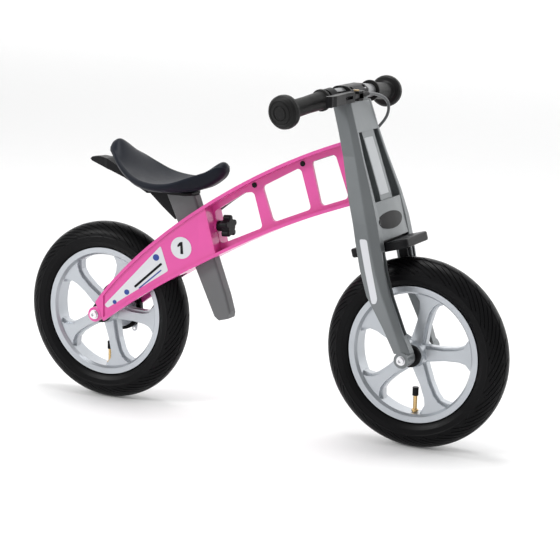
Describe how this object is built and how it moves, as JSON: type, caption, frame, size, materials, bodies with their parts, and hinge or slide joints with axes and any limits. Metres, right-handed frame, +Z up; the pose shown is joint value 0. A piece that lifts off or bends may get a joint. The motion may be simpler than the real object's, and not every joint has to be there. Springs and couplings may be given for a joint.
{
  "type": "balance bike",
  "caption": "Child's balance bike with air tyres: a windowed one-beam frame, a twin-wall fork with wide bars, a sliding clamped saddle and a lever-operated rear drum brake.",
  "frame": {"origin": "on the ground, midway between the two wheel axles, on the centre plane", "axes": "+X is forward, +Y is the rider's left, +Z is up"},
  "size_m": [0.875, 0.397, 0.5657],
  "materials": {
    "frame_shell": "gloss moulded, pink",
    "fork_shell": "satin moulded, mid grey",
    "wheel_shell": "satin moulded, light silver grey",
    "post_plastic": "satin moulded, dark grey",
    "black_plastic": "fine grained, black",
    "bar_paint": "satin grey paint on steel tube",
    "grip_rubber": "moulded with fine rings",
    "tyre_rubber": "grooved road tread",
    "tube_rubber": "smooth",
    "saddle_cover": "soft synthetic cover, charcoal, satin",
    "steel": "zinc plated, bright",
    "aluminium": "turned, plain",
    "brass": "plain",
    "cable_casing": "smooth, grey"
  },
  "bodies": {
    "frame": {"frame": "frame_shell", "steering_bushes": "black_plastic", "clamp_insert_nut": "brass", "clamp_pad": "black_plastic", "rear_axle_bolt": "steel", "rear_axle_washers": "steel", "rear_axle_nut": "steel", "rear_axle_sleeves": "aluminium", "brake_cover": "black_plastic", "cable_clips": "black_plastic", "cable_stop": "steel", "brake_cable": "cable_casing"},
    "fork": {"fork": "fork_shell", "fork_guard": "black_plastic", "bar_clamp": "black_plastic", "bar_clamp_screws": "steel", "handlebar": "bar_paint", "grip_left": "grip_rubber", "grip_right": "grip_rubber", "steering_pin": "steel", "steering_nut": "steel", "front_axle_bolt": "steel", "front_axle_washers": "steel", "front_axle_nut": "steel", "front_axle_sleeves": "aluminium", "lever_perch": "black_plastic", "lever_pivot_pin": "brass", "barrel_adjuster": "black_plastic"},
    "front_wheel": {"front_wheel_rim": "wheel_shell", "front_tyre": "tyre_rubber", "front_inner_tube": "tube_rubber", "front_valve_stem": "brass", "front_valve_cap": "black_plastic", "front_wheel_bearings": "steel", "front_bearing_spacer": "aluminium", "front_hub_caps": "black_plastic"},
    "rear_wheel": {"rear_wheel_rim": "wheel_shell", "rear_tyre": "tyre_rubber", "rear_inner_tube": "tube_rubber", "rear_valve_stem": "brass", "rear_valve_cap": "black_plastic", "rear_wheel_bearings": "steel", "rear_bearing_spacer": "aluminium", "rear_hub_cap": "black_plastic", "brake_drum": "steel"},
    "seat": {"seat_post": "post_plastic", "saddle_base": "black_plastic", "saddle": "saddle_cover", "saddle_screws": "steel"},
    "clamp_knob": {"clamp_knob": "black_plastic", "clamp_screw": "steel"},
    "brake_lever": {"brake_lever": "black_plastic"},
    "brake_arm": {"brake_arm": "steel"},
    "shoe_upper": {"brake_shoe_upper": "aluminium"},
    "shoe_lower": {"brake_shoe_lower": "aluminium"}
  },
  "joints": [
    {"name": "steer", "type": "hinge", "parent": "frame", "child": "fork", "pos_m": [0.2122, 0, 0.34], "axis": [-0.2696, 0, 0.963], "range_deg": [-35, 35], "deforming": ["brake_cable"]},
    {"name": "front_wheel_spin", "type": "hinge", "parent": "fork", "child": "front_wheel", "pos_m": [0.285, 0, 0.1525], "axis": [0, 1, 0], "continuous": true},
    {"name": "rear_wheel_spin", "type": "hinge", "parent": "frame", "child": "rear_wheel", "pos_m": [-0.285, 0, 0.1525], "axis": [0, 1, 0], "continuous": true},
    {"name": "seat_height", "type": "slide", "parent": "frame", "child": "seat", "axis": [-0.3746, 0, 0.9272], "range_m": [0, 0.07]},
    {"name": "clamp_turn", "type": "hinge", "parent": "frame", "child": "clamp_knob", "pos_m": [-0.0775, 0, 0.318], "axis": [0.9976, 0, 0.0698], "range_deg": [0, 360]},
    {"name": "lever_pull", "type": "hinge", "parent": "fork", "child": "brake_lever", "pos_m": [0.18, -0.028, 0.552], "axis": [0, 0, -1], "range_deg": [0, 9], "stiffness_Nm_per_rad": 2, "springref_deg": -5.73},
    {"name": "brake_arm_turn", "type": "hinge", "parent": "frame", "child": "brake_arm", "pos_m": [-0.257, 0.0407, 0.1445], "axis": [0, -1, 0], "range_deg": [0, 11.25]},
    {"name": "upper_shoe_swing", "type": "hinge", "parent": "frame", "child": "shoe_upper", "pos_m": [-0.313, 0.031, 0.1605], "axis": [0, -1, 0], "range_deg": [0, 0.7]},
    {"name": "lower_shoe_swing", "type": "hinge", "parent": "frame", "child": "shoe_lower", "pos_m": [-0.313, 0.031, 0.1605], "axis": [0, 1, 0], "range_deg": [0, 0.7]}
  ],
  "couplings": [
    {"joint": "brake_arm_turn", "follows": "lever_pull", "ratio": 1.25},
    {"joint": "upper_shoe_swing", "follows": "lever_pull", "ratio": 0.0777},
    {"joint": "lower_shoe_swing", "follows": "lever_pull", "ratio": 0.0777}
  ]
}
